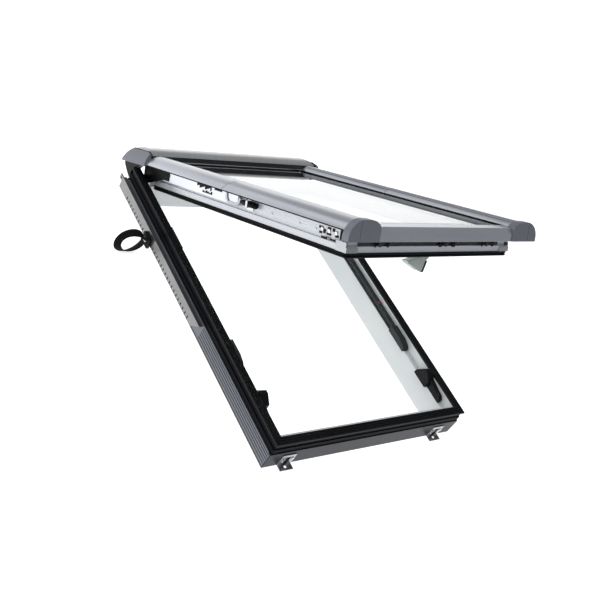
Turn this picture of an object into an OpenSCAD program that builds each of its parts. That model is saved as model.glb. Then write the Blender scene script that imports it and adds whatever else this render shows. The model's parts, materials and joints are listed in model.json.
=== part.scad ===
// Roof skylight: a top hung and centre pivot roof window with its frame.
// X runs along the top hinge, +Y up the slope, +Z out of the roof.
// The origin is the middle of the four batten bracket holes, in the plane the brackets bear on.
// The sash is drawn closed and then turned open about the top hinge.

/* [Overall] */
// Outer width of the fixed frame
frame_w = 540; // [440:5:950]
// Outer height of the fixed frame
frame_h = 780; // [640:10:1400]
// Angle that the sash stands open at rest
open_angle = 33.15; // [0:0.05:45]

/* [Frame] */
// Height of the metal cover on the frame's outer sides
cover_h = 42; // [36:1:60]
// Thickness of the frame covers
cover_t = 2; // [1.5:0.1:2.5]
// Depth of the inner lining below the battens
lining_d = 18; // [10:1:60]
// Width of a frame member at its inner lining
member_w = 30; // [26:1:50]
// Width of the ledge on the bottom member
sill_w = 40; // [40:1:60]
// Level of the inner ledge
ledge_z = 45; // [44:1:64]
// Level of the top of the dark surround
surround_z = 70; // [68:1:90]
// Inset of the inner face of the frame's upper wall
wall_inset = 20; // [16:1:24]
// Thickness of the ribbed top gasket
top_gasket_t = 5; // [3:0.5:6]

/* [Sash] */
// Inset of the sash profile from the outside of the frame
sash_inset = 44; // [44:1:60]
// Level of the room side face of the closed sash
sash_z0 = 48.5; // [47:0.5:70]
// Depth of the sash profile
sash_d = 45; // [40:1:70]
// Width of the sash profile, seen from the room
sash_w = 38; // [32:1:60]
// Thickness of one glass pane
pane_t = 4; // [3:1:8]
// Gap between the panes
pane_gap = 20; // [12:1:24]
// Inset of the glass edge from the outside of the sash profile
glass_inset = 12; // [10:1:16]

/* [Covers] */
// Sheet thickness of the sash covers
sheet_t = 2; // [1.5:0.1:2.5]
// Inset of the sash covers from the outside of the frame
clad_inset = 10; // [4:1:12]
// Reach of the covers over the glass, from the sash profile's outside
clad_in = 26; // [22:1:32]
// Depth of the bottom corner caps
cap_d = 18; // [12:1:30]
// Width of the bottom corner caps
cap_w = 76; // [60:1:90]
// Reach of the hood up the slope from the hinge axis
hood_back = 72; // [60:1:80]
// Reach of the hood down the slope from the hinge axis
hood_front = 32; // [31:1:40]
// Top of the hood above the hinge axis
hood_top = 80; // [78:1:95]

/* [Arms and joints] */
// Inset of the top hinge axis from the frame's top edge
hinge_inset = 22; // [20:1:24]
// Level of the top hinge axis
hinge_z = 50; // [50:1:56]
// Radius of the top hinge pins
hinge_pin_r = 5; // [3:0.5:6]
// Thickness of a hinge arm
arm_t = 4.5; // [3:0.5:5]
// Height of a hinge arm
arm_h = 22; // [18:1:22]
// Place of the centre pivot along the slope
pivot_y = 1; // [-40:1:40]
// Radius of the centre pivot pins
pivot_pin_r = 2.5; // [2:0.25:3]
// Running clearance of a pin in its bore
pin_play = 0.06; // [0.02:0.01:0.1]
// Gap in the side covers at the pivot
seam_gap = 1.2; // [0.8:0.1:3]

/* [Fittings] */
// How far the spring channel stands out of the frame's side
channel_t = 10; // [8:0.5:14]
// Width of the spring channel
channel_w = 28; // [24:1:34]
// Level of the lower edge of the spring channel
channel_z = 12; // [8:1:16]
// Lower end of the spring channel along the slope
channel_y0 = -48; // [-200:1:0]
// Distance from one slot of the spring channel to the next
slot_pitch = 12.5; // [10:0.5:20]
// Radius of the coiled spring in the channel
spring_r = 3.4; // [2.5:0.1:4]
// Place of the tension adjuster along the slope
adjuster_y = 213; // [100:1:250]
// Width of the pull strap
strap_w = 17; // [12:1:25]
// Distance from the middle to each bracket's hole across the roof
bracket_x = 215; // [160:1:400]
// Radius of the bracket screw holes
bracket_hole_r = 3; // [2:0.25:4]
// Thickness of the bracket sheet
bracket_t = 2; // [1.5:0.1:3]

/* [Handle] */
// Place of the handle's spindle across the sash
handle_x = 22; // [-60:1:60]
// Length of the handle's grip
handle_len = 92; // [70:1:130]

/* [Hidden] */
$fn = 48;

hw = frame_w / 2;
hh = frame_h / 2;
eye_clear = 0.5;

// Frame levels and insets
lip_t = 1.5;
lip_w = 8;
lining_out = 14;
surround_t = 6;
surround_in = 2;
surround_step = 2;
surround_step_z = (cover_h + lip_t + surround_z) / 2;
top_gasket_out = 0.5;
top_gasket_w = wall_inset - top_gasket_out;
groove_w = 2;
groove_d = 2;

// Sash levels
sash_hw = hw - sash_inset;
sash_y0 = -(hh - sash_inset - 6);
sash_y1 = hh - sash_inset;
sash_hh = (sash_y1 - sash_y0) / 2;
sash_cy = (sash_y1 + sash_y0) / 2;
glass_z = sash_z0 + sash_d + 8;
glass_z0 = glass_z - 2 * pane_t - pane_gap;
glass_hw = sash_hw - glass_inset;
glass_y0 = sash_y0 + glass_inset;
glass_y1 = sash_y1 - 5;
glass_hh = (glass_y1 - glass_y0) / 2;
glass_cy = (glass_y1 + glass_y0) / 2;
seal_t = 0.8;
groove_z = sash_z0 + 12;
groove_h = 8;
groove_depth = 5;

// Covers
clad_hw = hw - clad_inset;
clad_z0 = glass_z - 12;
clad_z1 = glass_z + 15;
clad_x0 = sash_hw - clad_in;
clad_arc_x = sash_hw - 4;
lip_z = clad_z0 + (clad_z1 - clad_z0) * sin(15);
cap_y = -(hh - 10);
cap_top = clad_z1 + 1.5;
cap_z0 = surround_z + top_gasket_t + 2.5;

// Hinge and pivot
hinge_y = hh - hinge_inset;
pivot_z = clad_z1 - 7;
arm_x = sash_hw + 3;
arm_z1 = clad_z0;
arm_z0 = arm_z1 - arm_h;
hinge_eye_r = hinge_pin_r + 5;
pivot_eye_r = clad_z1 - sheet_t - pivot_z - 0.6;
lever_t = 2;
pocket_d = hinge_eye_r + 4;
pocket_y0 = hinge_y - hinge_eye_r - 8;
pocket_y1 = hinge_y + hinge_eye_r + 6;
seam_y = pivot_y + 23;
seam_lean = 11;
hood_y0 = hinge_y - hood_front;
hood_y1 = hinge_y + hood_back;
hood_z1 = hinge_z + hood_top;
hood_z0 = glass_z + 3;
hood_len = hood_y1 - hood_y0;
hood_hw = clad_hw - 14;
hood_x1 = clad_hw + 2;
hood_round_x = clad_hw - 38;
hood_round_z = glass_z - 13;
cap_proud = 1.2;

// Turns a closed sash position to the rest position.
module opened() {
    translate([0, hinge_y, hinge_z]) rotate([-open_angle, 0, 0]) translate([0, -hinge_y, -hinge_z])
        children();
}

// A rectangular ring whose sides lie out and in millimetres inside the frame's outline.
module inset_ring(out, in, z0, z1, in_bottom = undef, in_top = undef) {
    ib = is_undef(in_bottom) ? in : in_bottom;
    it = is_undef(in_top) ? in : in_top;
    difference() {
        translate([-hw + out, -hh + out, z0]) cube([frame_w - 2 * out, frame_h - 2 * out, z1 - z0]);
        translate([-hw + in, -hh + ib, z0 - 1]) cube([frame_w - 2 * in, frame_h - ib - it, z1 - z0 + 2]);
    }
}

// The same without its top side, open up the slope.
module inset_u(out, in, z0, z1) {
    difference() {
        translate([-hw + out, -hh + out, z0]) cube([frame_w - 2 * out, frame_h - 2 * out, z1 - z0]);
        translate([-hw + in, -hh + in, z0 - 1]) cube([frame_w - 2 * in, frame_h, z1 - z0 + 2]);
    }
}

// A box between two half widths across and two places along the slope, mirrored for the left side.
module side_box(side, x0, x1, y0, y1, z0, z1) {
    translate([side > 0 ? x0 : -x1, y0, z0]) cube([x1 - x0, y1 - y0, z1 - z0]);
}

// An outline in Y and Z carried across from x0 to x1.
module yz_plate(side, x0, x1, outline) {
    translate([side > 0 ? x0 : -x1, 0, 0]) rotate([90, 0, 90]) linear_extrude(x1 - x0) polygon(outline);
}

// A round bar across, mirrored for the left side.
module cross_bar(side, x0, x1, y, z, r) {
    translate([side > 0 ? x0 : -x1, y, z]) rotate([0, 90, 0]) cylinder(h = x1 - x0, r = r);
}

// ---------------------------------------------------------------- fixed frame

module frame_profile() color("white") {
    top_in = member_w;
    difference() {
        union() {
            inset_ring(lining_out, member_w, -lining_d, 0, sill_w, top_in);
            inset_ring(cover_t, member_w, 0, cover_h, sill_w, top_in);
            inset_ring(lip_w, member_w, cover_h, ledge_z, sill_w, top_in);
            inset_u(surround_in + surround_t, wall_inset, ledge_z, surround_z);
        }
        for (side = [-1, 1])
            side_box(side, sash_hw + 1, hw - wall_inset, pocket_y0, pocket_y1, ledge_z - pocket_d + 5, ledge_z + 1);
    }
}

module dark_surround() color([0.08, 0.09, 0.11]) {
    inset_u(surround_in, surround_in + surround_t, cover_h + lip_t, surround_step_z);
    inset_u(surround_in + surround_step, surround_in + surround_t, surround_step_z, surround_z);
}

module side_cover(side) color([0.33, 0.37, 0.42]) {
    side_box(side, hw - cover_t, hw, -hh + cover_t, hh - cover_t, 0, cover_h);
    side_box(side, hw - lip_w, hw, -hh + lip_w, hh - lip_w, cover_h, cover_h + lip_t);
}

// Cover of the bottom or top member, running over the ends of the side covers.
module end_cover(end) color([0.2, 0.24, 0.28]) mirror([0, end > 0 ? 1 : 0, 0]) {
    translate([-hw, -hh, 0]) cube([frame_w, cover_t, cover_h]);
    translate([-hw, -hh, cover_h]) cube([frame_w, lip_w, lip_t]);
}

module top_gasket() color([0.05, 0.05, 0.06]) difference() {
    inset_u(top_gasket_out, top_gasket_out + top_gasket_w, surround_z, surround_z + top_gasket_t);
    for (i = [1 : 3])
        inset_u(top_gasket_out + i * top_gasket_w / 4 - groove_w / 2,
            top_gasket_out + i * top_gasket_w / 4 + groove_w / 2,
            surround_z + top_gasket_t - groove_d, surround_z + top_gasket_t + 1);
}

// ---------------------------------------------------------------- spring sets on the frame's sides

channel_y1 = hh + 5;
channel_wall = 1.5;
slot_h = 7;
slot_w = 3.5;
slot_n = floor((channel_y1 - channel_y0 - 60) / slot_pitch);

module channel(side) color("silver") difference() {
    union() {
        yz_plate(side, hw, hw + channel_t, [
            [channel_y0 - 14, channel_z + channel_w], [channel_y0 + 14, channel_z],
            [channel_y1, channel_z], [channel_y1, channel_z + channel_w]]);
        side_box(side, hw, hw + 3, channel_y1, channel_y1 + 22, channel_z + 8, channel_z + 20);
    }
    side_box(side, hw - 1, hw + channel_t - channel_wall, channel_y0 + 20, channel_y1 - 3,
        channel_z + channel_wall, channel_z + channel_w - channel_wall);
    for (i = [0 : slot_n - 1])
        side_box(side, hw + 1, hw + channel_t + 1, channel_y0 + 30 + i * slot_pitch,
            channel_y0 + 30 + slot_w + i * slot_pitch, channel_z + 3, channel_z + 3 + slot_h);
    cross_bar(side, hw - 1, hw + 4, channel_y1 + 14, channel_z + 14, 2.5);
}

spring_y0 = adjuster_y + 30;
spring_y1 = channel_y1 - 3;
spring_n = 30;

// Close wound tension spring, drawn as its ribbed outer form.
module spring(side) color("dimgray")
    translate([side * (hw + channel_wall + spring_r), spring_y1, channel_z + channel_w - channel_wall - spring_r - 2])
        rotate([90, 0, 0]) rotate_extrude() polygon(concat([[0, 0]],
            [for (i = [0 : 2 * spring_n]) [i % 2 == 0 ? spring_r - 1 : spring_r,
                i * (spring_y1 - spring_y0) / (2 * spring_n)]],
            [[0, spring_y1 - spring_y0]]));

hook_r = 1.4;
hook_y = strap_w / 2 + 1.5;
block_y0 = adjuster_y - 16;
block_y1 = adjuster_y + 16;
adj_x0 = hw + channel_t + 0.3;

module adjuster_block(side) color([0.07, 0.07, 0.08]) difference() {
    side_box(side, adj_x0, adj_x0 + 7, block_y0, block_y1, channel_z - 6, channel_z + 18);
    cross_bar(side, adj_x0 + 2, adj_x0 + 8, adjuster_y + hook_y, channel_z + 12, hook_r);
    cross_bar(side, adj_x0 + 2, adj_x0 + 8, adjuster_y - hook_y, channel_z + 12, hook_r);
}

// Wire staple that carries the strap.
module adjuster_hook(side) color("silver") {
    for (dy = [-hook_y, hook_y]) cross_bar(side, adj_x0 + 2, adj_x0 + 14, adjuster_y + dy, channel_z + 12, hook_r);
    translate([side * (adj_x0 + 14), adjuster_y - hook_y - hook_r, channel_z + 12]) rotate([-90, 0, 0])
        cylinder(h = 2 * hook_y + 2 * hook_r, r = hook_r);
}

strap_t = 2.2;
strap_x0 = adj_x0 + 7.6;

// Closed loop of webbing, hanging from the wire staple.
module strap(side) color([0.05, 0.05, 0.05])
    translate([0, adjuster_y + strap_w / 2 - 1.5, 0]) rotate([90, 0, 0]) linear_extrude(strap_w - 3)
        mirror([side > 0 ? 0 : 1, 0]) difference() {
            strap_outline(0);
            strap_outline(strap_t);
        }

// Drop shaped loop outline, drawn in by a margin.
module strap_outline(m) {
    cx = strap_x0 + 34;
    cz = channel_z;
    polygon([for (a = [0 : 12 : 348]) [cx + (32 - m) * cos(a) * (1 + 0.06 * sin(a)),
        cz + (27 - m) * sin(a) - 9 * cos(a)]]);
}

// ---------------------------------------------------------------- brackets and small frame fittings

foot_y = 8;
bracket_y = hh + foot_y;
bracket_h = cover_h - 8;

// Four bent sheet brackets, each with a foot on the batten and a tab on the frame's outer face.
module batten_brackets() color("silver") for (sx = [-1, 1], sy = [-1, 1])
    translate([sx * bracket_x, sy * hh, 0]) mirror([0, sy > 0 ? 0 : 1, 0]) difference() {
        union() {
            translate([-17, 0, 0]) cube([34, foot_y + 8, bracket_t]);
            translate([-17, 0, bracket_t]) cube([11, bracket_t, bracket_h - 7 - bracket_t]);
            translate([6, 0, bracket_t]) cube([11, bracket_t, bracket_h - 7 - bracket_t]);
            translate([-17, 0, bracket_h - 7]) cube([34, bracket_t, 7]);
        }
        translate([0, foot_y, -1]) cylinder(h = bracket_t + 2, r = bracket_hole_r);
        for (x = [-11.5, 11.5]) translate([x, -1, bracket_h - 13]) rotate([-90, 0, 0]) cylinder(h = bracket_t + 2, r = 2);
    }

module bracket_screws() color("gainsboro") for (sx = [-1, 1], sy = [-1, 1], x = [-11.5, 11.5])
    translate([sx * bracket_x + x, sy * (hh + bracket_t), bracket_h - 13])
        rotate([sy > 0 ? -90 : 90, 0, 0]) cylinder(h = 1.8, r = 3.6);

bracket_x0 = arm_x + arm_t + lever_t + 0.5;

module hinge_bracket(side) color("dimgray") difference() {
    side_box(side, bracket_x0, hw - wall_inset, pocket_y0 + 2, pocket_y1 - 2, ledge_z - pocket_d + 5, hinge_z + 14);
    cross_bar(side, bracket_x0 - 1, hw, hinge_y, hinge_z, hinge_pin_r);
}

module hinge_pins() color("silver") for (side = [-1, 1]) {
    cross_bar(side, sash_hw + 1, hw - wall_inset, hinge_y, hinge_z, hinge_pin_r);
    cross_bar(side, sash_hw + 1, sash_hw + 2.5, hinge_y, hinge_z, hinge_pin_r + 2);
}

rail_x0 = hw - wall_inset - 18;
rail_y0 = -117;
rail_y1 = 130;
rail_h = 17;

// Long brake rail on the frame's inner wall, with a wider end housing.
module guide_rail(side) color([0.16, 0.18, 0.19]) {
    x1 = hw - wall_inset;
    side_box(side, rail_x0 + 6, x1, rail_y0, rail_y1, ledge_z, ledge_z + rail_h - 3);
    side_box(side, rail_x0 + 3, rail_x0 + 6, rail_y0, rail_y1, ledge_z, ledge_z + 5);
    yz_plate(side, rail_x0, x1, [[rail_y0 - 66, ledge_z], [rail_y0 - 66, ledge_z + 7],
        [rail_y0 - 58, ledge_z + 13], [rail_y0 - 40, ledge_z + rail_h], [rail_y0, ledge_z + rail_h],
        [rail_y0, ledge_z]]);
}

mark_y = -42;

module rail_marks() color([0.75, 0.1, 0.15]) for (side = [-1, 1])
    translate([side * (rail_x0 + 9.8), mark_y, ledge_z + rail_h - 3]) difference() {
        cylinder(h = 1.2, r = 3.5);
        translate([0, 0, -1]) cylinder(h = 4, r = 1.8);
    }

module wedge(side) color([0.04, 0.04, 0.05]) {
    y0 = -hh + 54;
    x1 = hw - wall_inset;
    yz_plate(side, x1 - 10, x1, [[y0, ledge_z], [y0, ledge_z + 9], [y0 + 6, ledge_z + 15],
        [y0 + 46, ledge_z + 21], [y0 + 52, ledge_z + 21], [y0 + 52, ledge_z]]);
    yz_plate(side, x1 - 20, x1, [[y0 + 46, ledge_z], [y0 + 46, ledge_z + 20], [y0 + 66, ledge_z + 33],
        [y0 + 74, ledge_z + 33], [y0 + 92, ledge_z + 9], [y0 + 92, ledge_z]]);
}

module guide_blocks() color([0.05, 0.05, 0.06]) for (side = [-1, 1])
    yz_plate(side, hw - wall_inset - 17, hw - wall_inset, [[147, ledge_z], [149, ledge_z + 13],
        [215, ledge_z + 13], [220, ledge_z + 8], [220, ledge_z]]);

cam_x = [-150, 28, 150];
cam_throw = 12;

module striker_plates() color("silver") for (x = cam_x)
    translate([x - 16, -hh + wall_inset, ledge_z]) difference() {
        cube([44, 3, 22]);
        translate([10, -1, 12]) cube([26, 5, 11]);
    }

// ---------------------------------------------------------------- hinge arms, hood and upper covers

module arm(side) color("gainsboro") opened() difference() {
    union() {
        yz_plate(side, arm_x, arm_x + arm_t, [
            [pivot_y - pivot_eye_r, arm_z0], [hood_y0, arm_z0], [hinge_y - hinge_eye_r, hinge_z],
            [hinge_y, hinge_z], [hinge_y + hinge_eye_r, hinge_z], [hinge_y + 14, hinge_z + 14],
            [hinge_y + 14, hood_z1 - 14], [hinge_y - 24, hood_z1 - 14], [hinge_y - 26, arm_z1],
            [pivot_y + pivot_eye_r, arm_z1], [pivot_y + pivot_eye_r, pivot_z],
            [pivot_y - pivot_eye_r, pivot_z]]);
        cross_bar(side, arm_x, arm_x + arm_t, hinge_y, hinge_z, hinge_eye_r);
        cross_bar(side, arm_x, arm_x + arm_t, pivot_y, pivot_z, pivot_eye_r);
    }
    cross_bar(side, arm_x - 1, arm_x + arm_t + 1, hinge_y, hinge_z, hinge_pin_r + pin_play);
    cross_bar(side, arm_x - 1, arm_x + arm_t + 1, pivot_y, pivot_z, pivot_pin_r);
}

ring_y = hinge_y - 94;
ring_z = arm_z1 - 7;

// Black lever bolted to the outside of the arm, with a ring end.
module hinge_lever(side) color([0.05, 0.05, 0.06]) opened() difference() {
    x0 = arm_x + arm_t;
    union() {
        yz_plate(side, x0, x0 + lever_t, [[hinge_y - hinge_eye_r, hinge_z], [hinge_y + hinge_eye_r, hinge_z],
            [hinge_y + 10, arm_z1 + 2], [hinge_y - 40, arm_z1 + 2], [ring_y, ring_z + 7], [ring_y, ring_z - 7]]);
        cross_bar(side, x0, x0 + lever_t, hinge_y, hinge_z, hinge_eye_r);
        cross_bar(side, x0, x0 + lever_t, ring_y, ring_z, 7);
    }
    cross_bar(side, x0 - 1, x0 + lever_t + 1, hinge_y, hinge_z, hinge_pin_r + pin_play);
    cross_bar(side, x0 - 1, x0 + lever_t + 1, ring_y, ring_z, 2.5);
}

// Section of the hood in Y and Z, drawn in by a margin.
function hood_outline(m) = [
    [hood_y0 + m, hood_z0], [hood_y0 + m, hood_z1 - 13 - m], [hood_y0 + 0.03 * hood_len + m, hood_z1 - 11 - m],
    [hood_y0 + 0.12 * hood_len, hood_z1 - 7.3 - m], [hood_y0 + 0.23 * hood_len, hood_z1 - 3.5 - m],
    [hood_y0 + 0.35 * hood_len, hood_z1 - 1 - m], [hood_y0 + 0.45 * hood_len, hood_z1 - m],
    [hood_y0 + 0.58 * hood_len, hood_z1 - 0.8 - m], [hood_y0 + 0.69 * hood_len, hood_z1 - 3.5 - m],
    [hood_y0 + 0.8 * hood_len - 0.5 * m, hood_z1 - 9.5 - m], [hood_y0 + 0.885 * hood_len - 0.8 * m, hood_z1 - 18.5 - 0.6 * m],
    [hood_y0 + 0.95 * hood_len - m, hood_z1 - 28.5 - 0.3 * m], [hood_y1 - m, hood_z1 - 36]];

// Rounded ends of the hood in X and Z, drawn in by a margin.
module hood_tunnel(m) {
    end = [for (a = [0 : 15 : 90]) [hood_round_x + (hood_x1 - m - hood_round_x) * sin(a),
        hood_round_z + (hood_z1 + 1 - m - hood_round_z) * cos(a)]];
    translate([0, hood_y1 + 30, 0]) rotate([90, 0, 0]) linear_extrude(hood_len + 60)
        polygon(concat([[hood_x1 - m, 0], [-hood_x1 + m, 0]], [for (i = [6 : -1 : 0]) [-end[i][0], end[i][1]]], end));
}

module hood() color([0.36, 0.38, 0.4]) opened() {
    difference() {
        intersection() {
            yz_plate(1, -hood_hw, hood_hw, hood_outline(0));
            hood_tunnel(0);
        }
        intersection() {
            yz_plate(1, -hood_hw - 1, hood_hw + 1, concat([[hood_y0 + sheet_t, hood_z0 - 20]],
                hood_outline(sheet_t), [[hood_y1 - sheet_t, hood_z0 - 20]]));
            hood_tunnel(sheet_t);
        }
    }
    for (side = [-1, 1])
        yz_plate(side, arm_x - 3, arm_x, [[hinge_y - 28, hood_z0 + 4], [hinge_y - 28, hood_z1 - 12.6],
            [hinge_y - 8, hood_z1 - 4.8], [hinge_y + 12, hood_z1 - 1.2], [hinge_y + 12, hood_z0 + 4]]);
}

// Side view of a hood cap, drawn in by a margin, with its lower edge at two levels.
function cap_side(m, low) = concat([[hood_y0 + m, hood_z0 - 12 - low]],
    [for (i = [1 : 12]) hood_outline(m)[i]], [[hood_y1 - m, hood_z0 - 14 - low]]);

// Rounded end cap of the hood, standing a little proud of it.
module hood_cap(side) color([0.45, 0.47, 0.5]) opened() difference() {
    intersection() {
        yz_plate(side, hood_hw, hood_x1 + 3, cap_side(-cap_proud, 0));
        hood_tunnel(-cap_proud);
    }
    intersection() {
        yz_plate(side, hood_hw - 1, hood_x1 + 1, cap_side(sheet_t, 10));
        hood_tunnel(sheet_t);
    }
}

// Rounded section of a side cover in X and Z, drawn in by a margin.
function cover_arc(m) = [for (a = [90 : -15 : 15])
    [clad_arc_x + (clad_hw - clad_arc_x - m) * cos(a), clad_z0 + (clad_z1 - clad_z0 - m) * sin(a)]];

module cover_section(leg_z, web_x, web_w, web_z) {
    polygon(concat([[clad_x0, leg_z], [clad_x0, glass_z + 3], [clad_x0 + 7, clad_z1 - 4], [clad_x0 + 14, clad_z1 - 0.6]],
        cover_arc(0), [for (i = [5 : -1 : 0]) cover_arc(sheet_t)[i]],
        [[clad_x0 + 15, clad_z1 - sheet_t - 0.6], [clad_x0 + 9, clad_z1 - 6], [clad_x0 + 3, glass_z + 3.6],
        [clad_x0 + 3, leg_z]]));
    translate([web_x, web_z]) square([web_w, clad_z1 - sheet_t + 0.2 - web_z]);
}

// Upright cut across a side cover where it parts at the pivot.
module seam_cut(side, shift, upper) {
    far = hh * 2;
    yz_plate(side, 0, hw + 1, upper
        ? [[seam_y + shift, 0], [seam_y + shift, lip_z - 0.5], [seam_y + shift - seam_lean, clad_z1 + 1],
            [-far, clad_z1 + 1], [-far, 0]]
        : [[seam_y - shift, 0], [seam_y - shift, lip_z - 0.5], [seam_y - shift - seam_lean, clad_z1 + 1],
            [far, clad_z1 + 1], [far, 0]]);
}

module side_cover_run(side, y0, y1, leg_z, web_x, web_w, web_z)
    translate([0, y1, 0]) rotate([90, 0, 0]) linear_extrude(y1 - y0) mirror([side > 0 ? 0 : 1, 0])
        cover_section(leg_z, web_x, web_w, web_z);

module upper_cover(side) color([0.55, 0.57, 0.62]) opened() difference() {
    side_cover_run(side, seam_y - 16, hood_y0 - cap_proud - 0.6, glass_z + 1.3, arm_x, arm_t, arm_z1);
    seam_cut(side, seam_gap / 2, true);
}

module lower_cover(side) color([0.5, 0.52, 0.57]) opened() difference() {
    side_cover_run(side, cap_y + cap_d, seam_y + 10, glass_z + seal_t, sash_hw - 4, 3, sash_z0 + sash_d);
    seam_cut(side, seam_gap / 2, false);
    side_box(side, sash_hw - 6.6, sash_hw + 10, pivot_y - 14, seam_y + 20, 0, clad_z1 - sheet_t - 0.01);
}

module pivot_pins() color("silver") opened() for (side = [-1, 1]) {
    cross_bar(side, sash_hw - 6, arm_x + arm_t, pivot_y, pivot_z, pivot_pin_r);
    cross_bar(side, arm_x + arm_t, arm_x + arm_t + 1.5, pivot_y, pivot_z, pivot_pin_r + 1.5);
}

// ---------------------------------------------------------------- sash

// A rectangular ring from its outer and inner half sizes.
module ring(ow, oh, iw, ih, z0, z1) {
    difference() {
        translate([-ow, -oh, z0]) cube([2 * ow, 2 * oh, z1 - z0]);
        translate([-iw, -ih, z0 - 1]) cube([2 * iw, 2 * ih, z1 - z0 + 2]);
    }
}

module sash_profile() color("whitesmoke") opened() difference() {
    translate([-sash_hw, sash_y0, sash_z0]) cube([2 * sash_hw, 2 * sash_hh, sash_d]);
    translate([-sash_hw + sash_w, sash_y0 + sash_w, 0])
        cube([2 * (sash_hw - sash_w), 2 * (sash_hh - sash_w), 200]);
    translate([-glass_hw - 2, glass_y0 - 2, glass_z0]) cube([2 * glass_hw + 4, 2 * glass_hh + 4, 100]);
    translate([0, sash_cy, 0])
        ring(sash_hw + 1, sash_hh + 1, sash_hw - groove_depth, sash_hh - groove_depth, groove_z, groove_z + groove_h);
}

module sash_gasket() color([0.04, 0.04, 0.05]) opened() translate([0, sash_cy, 0]) {
    ring(sash_hw - 10, sash_hh - 10, sash_hw - 20, sash_hh - 20, sash_z0 - 3, sash_z0);
    ring(sash_hw - 8, sash_hh - 8, sash_hw - 16, sash_hh - 16, sash_z0 - 6, sash_z0 - 3);
}

module inner_pane() color([0.8, 0.93, 0.88, 0.4]) opened()
    translate([-glass_hw, glass_y0, glass_z0]) cube([2 * glass_hw, 2 * glass_hh, pane_t]);

pane_y0 = cap_y + cap_d + 2;

module outer_pane() color([0.8, 0.93, 0.88, 0.4]) opened()
    translate([-glass_hw, pane_y0, glass_z - pane_t]) cube([2 * glass_hw, glass_y1 - pane_y0, pane_t]);

module glass_spacer() color([0.1, 0.1, 0.11]) opened() translate([0, glass_cy, 0])
    ring(glass_hw - 1, glass_hh - 1, glass_hw - 13, glass_hh - 13, glass_z0 + pane_t, glass_z - pane_t);

module glazing_seal() color([0.05, 0.05, 0.06]) opened() {
    z = sash_z0 + sash_d;
    difference() {
        translate([0, glass_cy, 0]) {
            ring(glass_hw + 5, glass_hh + 5, glass_hw, glass_hh, z, glass_z);
            ring(glass_hw + 5, glass_hh + 5, clad_x0 + 2, glass_hh - 10, glass_z, glass_z + seal_t);
        }
        translate([-hw, -hh, glass_z - pane_t]) cube([frame_w, hh + glass_y0 + 12, 20]);
    }
}

module bottom_cover() color([0.42, 0.45, 0.5]) opened() {
    t = sheet_t - 0.4;
    y0 = cap_y + 2;
    y1 = sash_y0 - 2;
    x = clad_hw + 2 - cap_w;
    yz_plate(1, -x, x, [[sash_y0, cap_z0], [y0, cap_z0], [y0, glass_z - 9.5], [y0 + 7, glass_z + 2.5],
        [y1, glass_z + 2.5], [y1, glass_z + 2.5 - t], [y0 + 8, glass_z + 2.5 - t],
        [y0 + t, glass_z - 9.9], [y0 + t, cap_z0 + t], [sash_y0, cap_z0 + t]]);
    for (side = [-1, 1])
        side_box(side, x - 1, clad_x0 - 0.2, cap_y + cap_d, y1, glass_z + 2.5 - t, glass_z + 2.5);
}

// Outline of a corner cap in X and Z, drawn in by a margin.
function cap_outline(m) = concat([[clad_hw + 2 - cap_w + m, cap_z0 + m], [clad_hw + 2 - cap_w + m, glass_z],
    [clad_hw + 6 - cap_w + m, glass_z + 8], [clad_hw + 16 - cap_w + m, cap_top - 2.5 - m],
    [clad_hw + 28 - cap_w + m, cap_top - m]],
    [for (a = [90 : -12 : 0]) [clad_hw - 34 + (36 - m) * cos(a) , cap_top - 34 - m + 34 * sin(a)]],
    [[clad_hw + 2 - m, cap_z0 + m]]);

module corner_cap(side) color([0.4, 0.42, 0.47]) opened() difference() {
    translate([0, cap_y + cap_d, 0]) rotate([90, 0, 0]) linear_extrude(cap_d) mirror([side > 0 ? 0 : 1, 0])
        polygon(cap_outline(0));
    translate([0, cap_y + cap_d + 1, 0]) rotate([90, 0, 0]) linear_extrude(cap_d - 1) mirror([side > 0 ? 0 : 1, 0])
        polygon(cap_outline(sheet_t));
    side_box(side, clad_hw - 26, clad_hw - 24.6, cap_y - 1, cap_y + 1, cap_z0 + 4, cap_top + 1);
}

module pivot_bearing(side) color("silver") opened() difference() {
    x0 = sash_hw - 6;
    z0 = sash_z0 + sash_d;
    union() {
        side_box(side, x0, sash_hw + 2, pivot_y - 10, pivot_y + 10, z0, pivot_z - 2);
        cross_bar(side, x0, sash_hw + 2, pivot_y, pivot_z, pivot_eye_r);
    }
    cross_bar(side, x0 - 1, sash_hw + 3, pivot_y, pivot_z, pivot_pin_r + pin_play);
}

case_t = 2.2;

module lock_case(side) color("silver") opened() {
    y0 = sash_y0 + 20;
    difference() {
        side_box(side, sash_hw, sash_hw + case_t, y0, y0 + 62, sash_z0 + 20, sash_z0 + 40);
        for (i = [0 : 2]) cross_bar(side, sash_hw - 1, sash_hw + case_t + 1, y0 + 10 + 20 * i, sash_z0 + 30, 3);
    }
    side_box(side, sash_hw, sash_hw + case_t, sash_y1 - 190, sash_y1 - 130, sash_z0 + 22, sash_z0 + 38);
}

module corner_angles() color("silver") opened() for (side = [-1, 1]) {
    side_box(side, sash_hw, sash_hw + case_t, sash_y0, sash_y0 + 28, sash_z0, sash_z0 + 19);
    side_box(side, sash_hw - 26, sash_hw + case_t, sash_y0 - case_t, sash_y0, sash_z0, sash_z0 + 10);
}

module rubber_blocks() color([0.05, 0.05, 0.05]) opened() for (side = [-1, 1])
    side_box(side, sash_hw, sash_hw + 5, sash_y0, sash_y0 + 17, sash_z0 + 21, sash_z0 + 38);

bar_y = sash_y0 + groove_depth - 2.5;

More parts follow.
